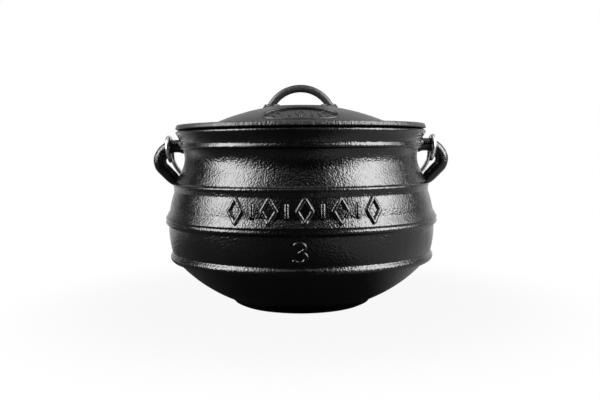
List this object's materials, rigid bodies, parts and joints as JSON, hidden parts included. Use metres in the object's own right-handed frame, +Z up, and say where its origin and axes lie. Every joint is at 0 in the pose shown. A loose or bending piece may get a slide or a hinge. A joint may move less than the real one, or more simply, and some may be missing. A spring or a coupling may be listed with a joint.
{
  "type": "potjie pot",
  "caption": "Round-bellied cast iron pot on a low foot, with side ears, a domed lid with a bent rod handle, and a wire bail that swings on the ears.",
  "frame": {"origin": "middle of the foot's flat underside, on the pot's axis", "axes": "+Z up along the pot's axis, +X from ear to ear, +Y to the back, where the bail hangs at rest"},
  "size_m": [0.3104, 0.2878, 0.2277],
  "materials": {
    "pot_iron": "black seasoned sand casting, satin, with a fine pebbled skin",
    "lid_iron": "black seasoned sand casting, satin, brim edge ground with fine upright marks",
    "handle_rod": "round steel rod painted dark grey, satin",
    "bail_wire": "bright zinc-coated wire"
  },
  "bodies": {
    "pot": {"pot_body": "pot_iron", "lid": "lid_iron", "lid_handle": "handle_rod"},
    "bail": {"bail": "bail_wire"}
  },
  "joints": [
    {"name": "bail_swing", "type": "hinge", "parent": "pot", "child": "bail", "pos_m": [0, 0, 0.16215], "axis": [1, 0, 0], "range_deg": [0, 234]}
  ]
}
